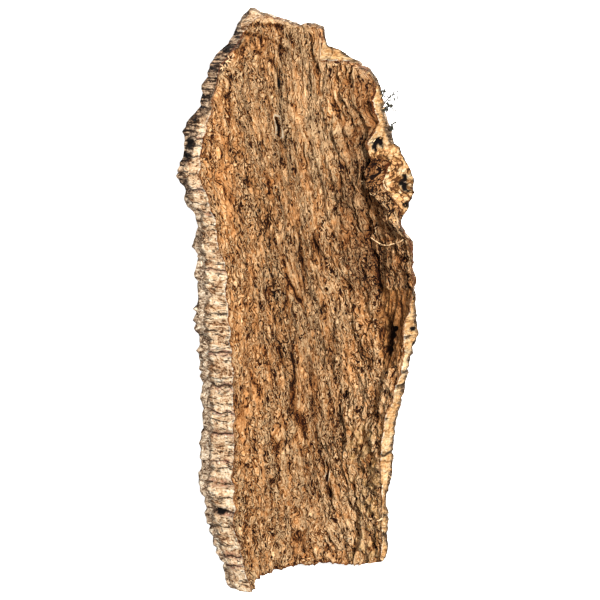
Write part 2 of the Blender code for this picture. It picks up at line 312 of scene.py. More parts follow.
# Colours of the inner face from its pits to its crests, in three moods.
TAN = (
    (0.0, (42, 13, 0)), (0.2, (92, 43, 8)), (0.4, (175, 115, 62)), (0.72, (222, 161, 103)),
    (1.0, (255, 212, 160)),
)
RUST = (
    (0.0, (48, 14, 0)), (0.2, (98, 43, 6)), (0.4, (180, 114, 58)), (0.72, (224, 161, 101)),
    (1.0, (255, 210, 156)),
)
ASH = (
    (0.0, (30, 13, 2)), (0.2, (78, 43, 13)), (0.4, (150, 102, 57)), (0.72, (203, 149, 97)),
    (1.0, (252, 208, 156)),
)
# The torn strands of the right hollow, the two colours of broken cork, and the two of the crust.
TORN = ((0.0, (64, 32, 12)), (0.3, (146, 90, 42)), (0.6, (200, 140, 80)), (1.0, (244, 204, 146)))
CREAM = (
    (0.0, (52, 25, 8)), (0.2, (140, 97, 62)), (0.38, (206, 167, 128)), (0.62, (234, 203, 165)),
    (1.0, (255, 240, 214)),
)
PEACH = (
    (0.0, (90, 54, 26)), (0.2, (164, 114, 64)), (0.4, (210, 158, 102)), (0.62, (232, 188, 134)),
    (1.0, (255, 230, 188)),
)
CRUST_DARK = (
    (0.0, (12, 7, 4)), (0.3, (38, 24, 15)), (0.55, (80, 57, 40)), (0.8, (136, 104, 78)),
    (1.0, (196, 164, 130)),
)
CRUST_PALE = (
    (0.0, (36, 23, 15)), (0.25, (108, 82, 61)), (0.5, (180, 152, 124)), (0.75, (214, 190, 160)),
    (1.0, (250, 236, 212)),
)


def along(table, y):
    """Reads a table of (station, value) at the stations y, with straight runs between its rows."""
    stations, values = zip(*table)
    return np.interp(y, stations, values)


def field(x, y, layer):
    """Smooth noise from -1 to 1 at the points x, y of one layer."""
    spots = zip(x.ravel(), y.ravel())
    values = (noise.noise(Vector((a, b, layer))) for a, b in spots)
    return np.fromiter(values, float, x.size).reshape(x.shape)


def cells(x, y, layer):
    """The distances from each point to the two nearest of a scatter of centres, and a chance each."""
    rows = []
    for a, b in zip(x.ravel(), y.ravel()):
        near, centres = noise.voronoi(Vector((a, b, layer)))
        rows.append((near[0], near[1], noise.noise(centres[0] * 5.17)))
    table = np.array(rows).reshape(*x.shape, 3)
    return table[..., 0], table[..., 1], table[..., 2]


def smooth_step(value, low, high):
    share = np.clip((value - low) / (high - low), 0, 1)
    return share * share * (3 - 2 * share)


def bump(arc, y, landmark):
    x0, y0, half_width, half_length, rise = landmark
    return rise * np.exp(-(((arc - x0) / half_width) ** 2) - ((y - y0) / half_length) ** 2)


def path_distance(arc, y, path):
    """Distance of each point from a path of straight runs, positive on the path's left."""
    nearest = np.full(arc.shape, 1e9)
    signed = np.zeros(arc.shape)
    for (x0, y0), (x1, y1) in zip(path, path[1:]):
        run = np.array((x1 - x0, y1 - y0), float)
        share = ((arc - x0) * run[0] + (y - y0) * run[1]) / (run @ run)
        share = np.clip(share, 0, 1)
        off_x, off_y = arc - x0 - share * run[0], y - y0 - share * run[1]
        distance = np.hypot(off_x, off_y)
        left = np.where(run[0] * off_y - run[1] * off_x > 0, 1, -1)
        signed = np.where(distance < nearest, distance * left, signed)
        nearest = np.minimum(nearest, distance)
    return signed


def inside(x, y, outline):
    """Distance of each point within a closed outline, negative outside it."""
    ring = [*outline, outline[0]]
    nearest = np.abs(path_distance(x, y, ring))
    odd = np.zeros(x.shape, bool)
    for (x0, y0), (x1, y1) in zip(ring, ring[1:]):
        spans = (y0 > y) != (y1 > y)
        rise = y1 - y0 if y1 != y0 else 1
        odd ^= spans & (x < x0 + (y - y0) * (x1 - x0) / rise)
    return np.where(odd, nearest, -nearest)


def slanted_arc(arc, y):
    """The sideways arc, bent so that the folds wander and slant as they run."""
    drift = 9 * field(arc / 60, y / 90, 3.1)
    return arc + drift + along(FOLD_SLANT, y) * smooth_step(arc, -90, 70)


def broad_inner(slanted, arc, y):
    """Height of the folds and swellings that the CAD has too."""
    height = WAVE_HEIGHT * field(slanted / WAVE_WIDTH, y / WAVE_LENGTH, 0.7)
    folds = np.abs(field(slanted / FOLD_WIDTH, y / FOLD_LENGTH, 5.3))
    height += FOLD_HEIGHT * (1 - 4 * folds)
    height += KNOB_HEIGHT * field(slanted / KNOB_WIDTH, y / KNOB_LENGTH, 4.9)
    for landmark in INNER_LANDMARKS:
        height += bump(arc, y, landmark)
    return height


def billows(x, y, kind, layer):
    """Rounded worms or beads with sharp creases between them, of one width, length and height."""
    width, length, height = kind
    return height * (4 * np.abs(field(x / width, y / length, layer)) - 0.8)


def bell(value, middle, half_width):
    """1 where the value is at the middle, fading to 0 on both sides of it."""
    return np.exp(-(((value - middle) / half_width) ** 2))


def inner_zones(arc, y):
    """How calm, ashen, dusky, torn, knobbly and pale each spot of the inner face is; the dusk and the tone
    hold some painted shade and light.
    """
    stray = 7 * field(arc / 14, y / 24, 4.4)
    ashen = [bell(path_distance(arc + stray, y, path), 0, ASHEN_WIDTH) for path in ASHEN_PATHS]
    return {
        "calm": bell(path_distance(arc + stray, y, CALM_PATH), 0, CALM_WIDTH),
        "ashen": np.max(ashen, axis=0),
        "dusk": smooth_step(inside(arc + stray, y + stray, DUSK_OUTLINE), -9, 12),
        "torn": inside(arc, y, TORN_OUTLINE) + 0.2 * stray,
        "nodules": smooth_step(inside(arc + stray, y, NODULE_OUTLINE), -6, 6),
        "tone": sum(bump(arc, y, spot) for spot in TONE_SPOTS),
    }


def seams(bent, arc, y, ashen):
    """Height and tone of the wandering seams in painted shade, each with a painted highlight crest on one
    side.
    """
    height, tone = 0.0, 0.0
    for width, length, depth, layer in SEAMS:
        value = field(bent / width, y / length, layer)
        there = smooth_step(field(arc / 22, y / 30, layer + 2) + 0.3 * ashen, -0.1, 0.25)
        seam = depth * there * (1 - smooth_step(np.abs(value), 0, SEAM_WIDTH / width))
        crest = there * bell(value * width, 2.2 * SEAM_WIDTH, SEAM_WIDTH)
        height = height + SEAM_CREST * crest - seam
        tone = tone + CREST_BRIGHTNESS * crest - SEAM_DARKNESS * seam
    return height, tone


def pits(bent, y):
    """Height of the scattered pits, each with a low rim round it."""
    distance, _, chance = cells(bent / PIT_WIDTH, y / PIT_LENGTH, 3.3)
    there = smooth_step(chance, -0.05, 0.1)
    pit = PIT_DEPTH * (1 - smooth_step(distance, 0.06, 0.2))
    return there * (PIT_RIM * bell(distance, 0.25, 0.06) - pit)


def grooves(arc, y, curl):
    """Height and tone of the placed grooves in painted shade, each with a painted highlight crest on its
    left.
    """
    height, tone = 0.0, 0.0
    broken = smooth_step(field(arc / 5, y / 9, 8.8), -0.35, 0.1)
    for path, half_width, depth in GROOVES:
        distance = path_distance(arc + 0.8 * curl, y, path)
        groove = depth * bell(distance, 0, half_width)
        crest = bell(distance, 2.5 * half_width, half_width)
        height = height - groove
        tone = tone + (GROOVE_BRIGHTNESS * crest - GROOVE_DARKNESS * groove) * broken
    return height, tone


def slits_and_knots(arc, y):
    """Height and tone of the slits with raised pale edges, and of the knots with a hole in a ring."""
    height, tone = 0.0, 0.0
    # Painted shade darkens the slits and the knots' holes.
    for path, half_width, depth in SLITS:
        distance = np.abs(path_distance(arc, y, path))
        slit, edge = bell(distance, 0, half_width), bell(distance, 2.4, 1.0)
        height = height + 1.2 * edge - depth * slit
        tone = tone + 0.6 * edge - 0.7 * slit
    for x0, y0, radius, rise in KNOTS:
        distance = np.hypot(arc - x0, y - y0)
        ring, eye = bell(distance, radius, 1.2), bell(distance, 0, 0.55 * radius)
        height = height + rise * ring - (rise + 1.5) * eye
        tone = tone + 0.5 * ring - 0.7 * eye
    return height, tone


def ledges(arc, y, curl):
    """Height of the steps where a layer broke off."""
    height = 0.0
    for path, rise, slope, step in LEDGES:
        distance = path_distance(arc + 0.8 * curl, y + curl, path)
        height = height + rise * bell(distance, 0, np.where(distance > 0, slope, step))
    return height


def fine_inner(slanted, arc, y, zones):
    """Height of the fine relief of the inner face. It also sets the zones' nodules and tone."""
    curl = 3.2 * field(slanted / 8, y / 10, 2.2)
    bent = slanted + curl
    width, length, rise = LUMPS
    height = billows(bent, y, WORMS, 7.7) + billows(bent, y, BEADS, 9.1)
    height = height + rise * field(bent / width, y / length, 1.6)
    seam_height, seam_tone = seams(bent, arc, y, zones["ashen"])
    height = height + seam_height + pits(bent, y)
    height *= 1 - CALM_SHARE * zones["calm"]
    height *= 1 + 0.35 * zones["ashen"] + 0.2 * zones["dusk"]
    torn = smooth_step(zones["torn"], -1, 2)
    strands = billows(arc + 0.15 * curl, y, STRANDS, 3.9) - TORN_DEPTH
    height = height * (1 - 0.8 * torn) + strands * torn

    near, _, _ = cells(arc / NODULE_WIDTH, y / NODULE_LENGTH, 5.5)
    domes = np.sqrt(np.clip(1 - (near / 0.45) ** 2, 0, 1))
    # The nodules get painted highlight on their tops and painted shade between them.
    nodule_tone = zones["nodules"] * (0.24 * domes - 0.12)
    zones["nodules"] = domes * zones["nodules"]
    groove_height, groove_tone = grooves(arc, y, curl)
    knot_height, knot_tone = slits_and_knots(arc, y)
    zones["tone"] = zones["tone"] + seam_tone + nodule_tone + groove_tone + knot_tone
    height = height + NODULE_HEIGHT * zones["nodules"] + groove_height + knot_height
    for *spot, depth in HOLLOWS:
        height = height - depth * hollow_shape(arc, y, spot)
    return height + ledges(arc, y, curl)


def hollow_shape(arc, y, spot):
    """1 within a steep-sided ragged hole and 0 round it."""
    x0, y0, half_width, half_length = spot
    reach = np.hypot((arc - x0) / half_width, (y - y0) / half_length)
    return 1 - smooth_step(reach + 0.5 * field(arc / 3, y / 6, 0.9), 0.7, 1.15)


def broad_outer(arc, y):
    """Height of the outer face's plates above its furrows, as in the CAD."""
    bend = 7 * field(arc / 45, y / 70, 8.2)
    first, second, _ = cells((arc + bend) / PLATE_WIDTH, (y + bend) / PLATE_LENGTH, 1.4)
    plates = smooth_step(second - first, 0.02, 0.34)
    swell = SWELL_HEIGHT * field(arc / SWELL_WIDTH, y / SWELL_LENGTH, 6.6)
    return swell + FURROW_DEPTH * (plates - 0.7) + bump(arc, y, REST_PLATE)


def fine_outer(arc, y):
    """Height of the crumbly skin and the small cracks of the outer plates."""
    skin = 1.1 * field(arc / 5, y / 8, 1.9) + 0.5 * field(arc / 2.4, y / 3, 4.2)
    cracks = np.abs(field(arc / 11, y / 26, 2.7))
    return skin - 1.5 * (1 - smooth_step(cracks, 0, 0.1))


class Section:
    """Where points of the wall lie, from their shares of the way across, along and through it."""

    def __init__(self, across, length, through):
        self.across, self.length, self.through = across, length, through
        self.top_lip, self.top_brow = along(TOP_LIP, across), along(TOP_BROW, across)
        top = self.top_lip * (1 - through) + self.top_brow * through
        trend, bottom = along(TOP_TREND, across), along(BOTTOM_EDGE, across)
        self.y = bottom + length * (trend - bottom) + (top - trend) * length**8

        left_reach = np.radians(along(LEFT_REACH, self.y))
        inner_reach, outer_reach = along(RIGHT_REACH, self.y), along(RIGHT_OUTER_REACH, self.y)
        right_reach = np.radians(inner_reach * (1 - through) + outer_reach * through)
        self.angle = -left_reach + across * (left_reach + right_reach)
        self.arc = self.angle * ARC_RADIUS
        self.on_left = self.angle < 0
        self.side = np.where(self.on_left, -1, 1)
        self.radius = self.either(LEFT_RADIUS, RIGHT_RADIUS)
        self.reach = np.where(self.on_left, left_reach, right_reach)
        self.towards_rim = np.abs(self.angle) / self.reach
        self.near_rim = smooth_step(self.towards_rim, RIM_START, 1)
        self.near_edge = smooth_step(self.towards_rim, EDGE_START, 1)

        self.lip, self.brow = self.either(LEFT_LIP, RIGHT_LIP), self.either(LEFT_BROW, RIGHT_BROW)
        self.rim_wall = self.either(LEFT_WALL, RIGHT_WALL)
        valley_wall = along(VALLEY_WALL, self.y)
        towards = smooth_step(self.towards_rim, 0, 1)
        self.thickness = valley_wall + (self.rim_wall - valley_wall) * towards
        self.crumbled = np.where(self.on_left, 0, along(CRUMBLED, self.y))
        self.from_end = np.minimum(length, 1 - length) * GRAIN_LENGTH
        self.from_side = np.minimum(self.angle + left_reach, right_reach - self.angle) * self.radius

    def either(self, left, right):
        """Reads the left side's table or the right side's, whichever side each point is on."""
        return np.where(self.on_left, along(left, self.y), along(right, self.y))


def rim_pull(at):
    """The sideways pull that keeps the rims to their plan lines and fades out towards the valley."""
    valley = along(VALLEY_X, at.y)
    smooth_lip = valley + at.side * at.radius * np.sin(at.reach)
    smooth_brow = valley + at.side * (at.radius + at.rim_wall) * np.sin(at.reach)
    pull = (at.lip - smooth_lip) * (1 - at.through) + (at.brow - smooth_brow) * at.through
    return pull * at.towards_rim**4


def chipped(x, z, at):
    """The same points, with the chips, cross-cracks and crumbs of the rims and their dropped brow."""
    teeth = field(at.y / CHIP_LENGTH, at.side * 5.0 + 1.5 * at.through, 9.5)
    x = x + at.side * CHIP_REACH * teeth * at.near_rim * np.minimum(at.rim_wall / CHIPPED_WALL, 1)
    chips = field(at.y / CHIP_LENGTH, at.side * 3.0 + at.through, 2.5)
    cracks = field(at.y / CRACK_SPACING, at.side * 2.0 + 0.3 * at.through, 7.1)
    crack = CRACK_DEPTH * (1 - smooth_step(np.abs(cracks), 0, 0.09))
    crumbs = CRUMB_HEIGHT * at.crumbled * field(x / CRUMB_LENGTH, at.y / CRUMB_LENGTH, 3.7)
    drop = BROW_DROP * at.rim_wall / DROPPED_WALL * smooth_step(at.through, 0.5, 1)
    return x, z + (CHIP_HEIGHT * chips + crumbs - crack - drop) * at.near_rim


def edge_distances(at):
    """The rim's width, the way outwards from its lip and from its brow, and its cover and crust."""
    on_side, on_top = at.from_side < at.from_end, at.length > 0.5
    end_span = np.where(on_top, np.maximum(at.top_brow - at.top_lip, 0) + 4, at.thickness)
    end_cover = np.where(on_top, along(TOP_LIP_COVER, at.across), 0)
    end_crust = np.where(on_top, along(TOP_CRUST, at.across), BOTTOM_CRUST)
    span = np.where(on_side, np.abs(at.brow - at.lip), end_span)
    cover = np.where(on_side, at.either(LEFT_LIP_COVER, RIGHT_LIP_COVER), end_cover)
    crust = np.where(on_side, at.either(LEFT_CRUST, RIGHT_CRUST), end_crust)
    beyond = np.minimum(at.from_end, at.from_side) * (2 * at.through - 1)
    return span, at.through * span + beyond, (at.through - 1) * span + beyond, cover, crust


def wall(across, length, through):
    """Points of the wall in millimetres, and what the finishes need to know about each."""
    at = Section(across, length, through)
    arc, y = at.arc, at.y
    slanted = slanted_arc(arc, y)
    zones = inner_zones(arc, y)
    folds = broad_inner(slanted, arc, y)
    relief = fine_inner(slanted, arc, y, zones)
    inner = -folds * (1 - at.near_rim) - relief * (1 - at.near_edge)
    plates = broad_outer(arc, y) * np.minimum(at.thickness / PLATED_WALL, 1) * (1 - at.near_rim)
    plates = plates + fine_outer(arc, y)
    outer = np.maximum(at.thickness + plates, inner + THINNEST_WALL)
    depth = inner + (outer - inner) * through
    x = along(VALLEY_X, y) + (at.radius + depth) * np.sin(at.angle) + rim_pull(at)
    x, z = chipped(x, at.radius - (at.radius + depth) * np.cos(at.angle), at)
    z = z + BOW_RISE * (y / BOW_HALF_LENGTH) ** 2

    span, from_lip, from_brow, cover, crust = edge_distances(at)
    courses = courses_at(at, from_lip)
    rise, lean = rim_relief(at, from_lip, courses, smooth_step(from_brow + crust, -1.5, 1.5))
    rise = rise + rim_marks(at, LEFT_RIM_MARKS, RIGHT_RIM_MARKS)
    holes = rim_marks(at, LEFT_RIM_HOLES, RIGHT_RIM_HOLES) * at.near_edge
    z = z + rise * at.near_edge - RIM_HOLE_DEPTH * holes
    x = x + at.side * lean * at.near_edge
    y = y + END_REACH * field(arc / 5, depth / 6, 5.9) * (1 - smooth_step(at.from_end, 0, 6))
    z = np.maximum(z + REST_DEPTH, 0)
    points = np.stack([x - FOOTPRINT_CENTRE[0], y - FOOTPRINT_CENTRE[1], z], axis=-1)

    crumbly = at.crumbled * smooth_step(from_lip, -2, 3)
    zones["ashen"] = np.maximum(zones["ashen"], crumbly)
    facts = {
        "grain": np.stack([slanted, y, depth], axis=-1),
        "place": np.stack([arc, y, through * span], axis=-1),
        "lip": from_lip - cover,
        "brow": from_brow + crust,
        "relief": relief,
        "folds": folds,
        "plates": plates,
        "courses": courses,
        "crumbled": at.crumbled,
        "hollow": hollows(arc, y, through, holes),
        "weather_and_shade": weather_and_shade(y, at.on_left, from_brow),
    }
    facts.update(zones)
    return points, facts


def hollows(arc, y, through, holes):
    """How far each point lies in a hole of a rim or of the inner face, which is painted near black as
    shade.
    """
    hollow = smooth_step(holes, 0.3, 0.42)
    on_face = 1 - smooth_step(through, 0, 0.1)
    for *spot, _ in HOLLOWS:
        hollow = np.maximum(hollow, hollow_shape(arc, y, spot) * on_face)
    return hollow


def weather_and_shade(y, on_left, from_brow):
    """How pale the outer crust is: by the table at the left brow, and even beyond it. Weathered where pale,
    with painted shade near the top of the left brow.
    """
    at_brow = np.where(on_left, along(LEFT_WEATHER_AND_SHADE, y), RIGHT_WEATHER)
    return EVEN_WEATHER + (at_brow - EVEN_WEATHER) * bell(from_brow, 0, 30)


def courses_at(at, from_lip):
    """Counts the cross-cracks passed along each rim, with the share of the way to the next.

    The right rim counts on from 100, so that no block of it is like one of the left rim.
    """
    y = at.y + 2.4 * field(from_lip / 7, at.y / 12, 1.2)
    left, right = (np.interp(y, cracks, range(len(cracks))) for cracks in (LEFT_CRACKS, RIGHT_CRACKS))
    return np.where(at.on_left, left, right + 100)


def rim_relief(at, from_lip, courses, in_crust):
    """Rise and outward lean of the broken rims: blocks, cracks, layers and crumbs."""
    y, way = at.y, at.side * 2.0
    block = field(np.floor(courses) * 3.7, way, 0.5)
    gap = np.abs(courses - np.round(courses))
    deep = smooth_step(field(np.round(courses) * 2.3, way + from_lip / 9, 6.2), -0.2, 0.3)
    crack = deep * (1 - smooth_step(gap, 0, 0.13))
    layers = field(y / 2.4, 2 * way + from_lip / 16, 1.1) + 0.6 * field(y / 4.1, from_lip / 12, 6.4)
    near, _, chance = cells(y / 4.6, from_lip / 3.8, 4.7)
    lumps = np.sqrt(np.clip(1 - (near / 0.6) ** 2, 0, 1)) * (1 + chance)
    rough = in_crust * (2.6 * lumps - 0.8) + 0.9 * in_crust * field(y / 9, from_lip / 8, 2.4)
    crumbs = at.crumbled * (1.6 * lumps + 2.0 * field(y / 5, from_lip / 5, 8.3))
    clean = (1 - in_crust) * (1 - 0.7 * at.crumbled)
    rise = clean * (0.5 * block + 1.0 * layers - 1.8 * crack + 0.7 * bell(from_lip, 0, 1.2))
    lean = (0.8 * block - 0.8 * crack + 1.8 * lumps * in_crust) * smooth_step(at.through, 0.2, 1)
    rise = (rise + rough + crumbs) * np.minimum(at.rim_wall / BROKEN_WALL, 1)
    return rise, lean * np.minimum(at.rim_wall / CHIPPED_WALL, 1)


def rim_marks(at, left_marks, right_marks):
    """Height of the placed dips, lumps or holes of the rims, with ragged edges."""
    height = np.zeros(at.y.shape)
    stray = field(at.y / 4, at.through * at.rim_wall / 4, 0.9)
    for marks, there in ((left_marks, at.on_left), (right_marks, ~at.on_left)):
        for place, share, half_length, half_width, rise in marks:
            off = (at.through - share) * at.rim_wall / half_width
            reach = ((at.y - place) / half_length) ** 2 + off**2
            height += there * rise * np.exp(-reach * (1 + 0.6 * stray) ** 2)
    return height


def bark_lattice(across, along_grain, through):
    """The closed shell of a block of cells, as whole steps, with its faces.

    The outer face has every second line only, and the rims' last course joins the two.
    """
    index, steps, faces = {}, [], []

    def corner(i, j, k):
        if (i, j, k) not in index:
            index[i, j, k] = len(steps)
            steps.append((i, j, k))
        return index[i, j, k]

    def sheet(k, stride, inward):
        for i in range(0, across, stride):
            for j in range(0, along_grain, stride):
                ring = [corner(i, j, k), corner(i + stride, j, k)]
                ring += [corner(i + stride, j + stride, k), corner(i, j + stride, k)]
                faces.append(ring if inward else ring[::-1])

    sheet(0, 1, True)
    sheet(through, 2, False)
    round_rim = [(i, 0) for i in range(across)] + [(across, j) for j in range(along_grain)]
    round_rim += [(across - i, along_grain) for i in range(across)]
    round_rim += [(0, along_grain - j) for j in range(along_grain)]
    following = round_rim[1:] + round_rim[:1]
    for k in range(through - 1):
        for here, after in zip(round_rim, following):
            quad = [corner(*here, k), corner(*here, k + 1), corner(*after, k + 1), corner(*after, k)]
            faces.append(quad)
    for n in range(0, len(round_rim), 2):
        start, middle, end = round_rim[n], following[n], following[n + 1]
        a, b, c = (corner(*spot, through - 1) for spot in (start, middle, end))
        d, e = corner(*start, through), corner(*end, through)
        faces += [[a, d, b], [b, d, e], [b, e, c]]
    return np.array(steps, float), faces


def store(mesh, facts):
    """Writes each fact onto the mesh's points, as a number or as three."""
    for name, values in facts.items():
        kind = "FLOAT_VECTOR" if values.ndim == 2 else "FLOAT"
        layer = mesh.attributes.new(name, kind, "POINT")
        layer.data.foreach_set("vector" if values.ndim == 2 else "value", values.ravel())


def add_object(name, data):
    """An object of the scene, from a mesh, a light or a camera."""
    thing = bpy.data.objects.new(name, data)
    bpy.context.scene.collection.objects.link(thing)
    return thing


def make_bark(material):
    steps, faces = bark_lattice(ACROSS, ALONG, THROUGH)
    points, facts = wall(*(steps / (ACROSS, ALONG, THROUGH)).T)
    mesh = bpy.data.meshes.new("cork_bark")
    mesh.from_pydata((points * MM).tolist(), [], faces)
    store(mesh, facts)
    mesh.materials.append(material)
    mesh.shade_smooth()
    return add_object("cork_bark", mesh)


def inner_spot(arc, y, lift):
    """A point in metres above the inner face, at a sideways arc and a place along the grain."""
    left, right = (math.radians(float(along(table, y))) for table in (LEFT_REACH, RIGHT_REACH))
    angle = arc / ARC_RADIUS
    across = min(max((angle + left) / (left + right), 0.0), 1.0)
    return face_spot(across, y, 0.0, lift, angle)


def rim_spot(y, through, lift):
    """A point in metres above the right rim."""
    return face_spot(1.0, y, through, lift, 0.0)


def face_spot(across, y, through, lift, lean):
    """A point of the wall, lifted off it in the direction that leans inwards by an angle."""
    shares = np.linspace(0, 1, 240)
    ones = np.ones(shares.size)
    points, facts = wall(across * ones, shares, through * ones)
    nearest = np.argmin(np.abs(facts["place"][:, 1] - y))
    away = np.array((-math.sin(lean), 0.0, math.cos(lean)))
    return Vector((points[nearest] + lift * away) * MM)


def tube(bm, path, width, tip, sides=5):
    """A closed round thread along a path, thinner at its ends."""
    rings = []
    for n, spot in enumerate(path):
        ahead = path[min(n + 1, len(path) - 1)] - path[max(n - 1, 0)]
        side = ahead.cross(Vector((0.1, 0.2, 1))).normalized()
        up = side.cross(ahead).normalized()
        share = n / (len(path) - 1)
        radius = 0.5 * width * MM * (tip + (1 - tip) * math.sin(math.pi * share) ** 0.5)
        turns = [2 * math.pi * k / sides for k in range(sides)]
        rings.append([bm.verts.new(spot + radius * (math.cos(t) * side + math.sin(t) * up)) for t in turns])
    for low, high in zip(rings, rings[1:]):
        for k in range(sides):
            bm.faces.new((low[k], low[k - 1], high[k - 1], high[k]))
    bm.faces.new(rings[0])
    bm.faces.new(rings[-1][::-1])


def bent_path(start, end, sag, draw, steps):
    """A wavering path from start to end that rises by sag in its middle."""
    path = []
    for n in range(steps + 1):
        share = n / steps
        stray = Vector([draw.uniform(-0.4, 0.4) * MM for _ in range(3)])
        rise = Vector((0, 0, sag * MM * math.sin(math.pi * share)))
        path.append(start.lerp(end, share) + rise + (stray if 0 < n < steps else Vector()))
    return path


def make_fibres(material):
    """The pale threads and splinters that stand off the right rim and the inner face."""
    bm = bmesh.new()
    draw = random.Random(11)
    spots = [inner_spot(arc, y, 1.6) for arc, y in ARC_FIBRE]
    for start, end in zip(spots, spots[1:]):
        tube(bm, bent_path(start, end, 0.6, draw, 5), 1.1, tip=0.8)
    for y, through, reach, drop, width in RIM_FIBRES:
        start = rim_spot(y, through, -0.6)
        end = start + Vector((reach, drop, draw.uniform(-1, 2))) * MM
        tube(bm, bent_path(start, end, draw.uniform(0.5, 1.5), draw, 5), width, tip=0.15)
    for arc, y, length, width, count in FIBRE_NESTS:
        for _ in range(count):
            place = (arc + draw.uniform(-4, 4), y + draw.uniform(-5, 5))
            start = inner_spot(*place, 1.4)
            turn = draw.uniform(0, 2 * math.pi)
            end = start + Vector((math.cos(turn), math.sin(turn), 0.35)) * length * MM
            tube(bm, bent_path(start, end, 0.8, draw, 4), width, tip=0.2)
    return finish_piece(bm, "loose_fibres", material)


def make_crumbs(material):
    """Small angular lumps of cork that cling to the crumbled part of the right rim."""
    bm = bmesh.new()
    draw = random.Random(5)
    for y, through, spread_along, spread_out, count in CRUMB_NESTS:
        for _ in range(count):
            share = min(through + draw.uniform(-1, 1) * spread_out, 0.97)
            root = rim_spot(y + draw.uniform(-1, 1) * spread_along, share, -0.2)
            crumb_lump(bm, root, draw.uniform(0.7, 1.8), draw)
    return finish_piece(bm, "cork_crumbs", material, smooth=False)


def crumb_lump(bm, middle, radius, draw):
    """One angular lump: a coarse ball, squashed, turned and dented."""
    ball = bmesh.ops.create_icosphere(bm, subdivisions=1, radius=radius * MM)
    turn = Euler([draw.uniform(0, math.pi) for _ in range(3)]).to_matrix()
    squash = Vector([draw.uniform(0.4, 1.4) for _ in range(3)])
    for vert in ball["verts"]:
        vert.co = middle + turn @ (vert.co * squash * draw.uniform(0.6, 1.3))


def make_moss(material):
    """Small dark tufts of moss on the right rim: bent stems with a few scale leaves each."""
    bm = bmesh.new()
    draw = random.Random(23)
    for y, through, spread, stems in MOSS_TUFTS:
        root = rim_spot(y, through, -0.5)
        for _ in range(stems):
            way = Vector((draw.uniform(0.3, 1.0), draw.uniform(-0.8, 0.9), draw.uniform(-0.1, 0.7)))
            end = root + way * spread * MM
            path = bent_path(root, end, 0.8, draw, 4)
            tube(bm, path, 0.5, tip=0.5, sides=4)
            for spot in path[2:]:
                for _ in range(3):
                    turn = Vector([draw.uniform(-1, 1) for _ in range(3)]).normalized()
                    scale_leaf(bm, spot, turn, draw.uniform(1.2, 2.6))
    return finish_piece(bm, "moss_tufts", material)


def scale_leaf(bm, root, way, length):
    """A small pointed leaf: a flat four-sided spindle."""
    side = way.cross(Vector((0.3, 0.1, 1))).normalized()
    thick = way.cross(side)
    middle = root + way * length * 0.45 * MM
    ring = [middle + 0.3 * length * MM * side, middle + 0.12 * length * MM * thick]
    ring += [middle - 0.3 * length * MM * side, middle - 0.12 * length * MM * thick]
    corners = [bm.verts.new(spot) for spot in ring]
    foot, tip = bm.verts.new(root), bm.verts.new(root + way * length * MM)
    for k in range(4):
        bm.faces.new((corners[k - 1], corners[k], tip))
        bm.faces.new((corners[k], corners[k - 1], foot))


def finish_piece(bm, name, material, smooth=True):
    """Turns a bmesh into a piece of the scene."""
    bmesh.ops.recalc_face_normals(bm, faces=bm.faces)
    mesh = bpy.data.meshes.new(name)
    bm.to_mesh(mesh)
    bm.free()
    mesh.materials.append(material)
    if smooth:
        mesh.shade_smooth()
    return add_object(name, mesh)


def srgb(red, green, blue):
    """A linear colour with alpha, from the values that a colour picker shows."""
    parts = [value / 255 for value in (red, green, blue)]
    linear = [p / 12.92 if p <= 0.04045 else ((p + 0.055) / 1.055) ** 2.4 for p in parts]
    return (*linear, 1.0)


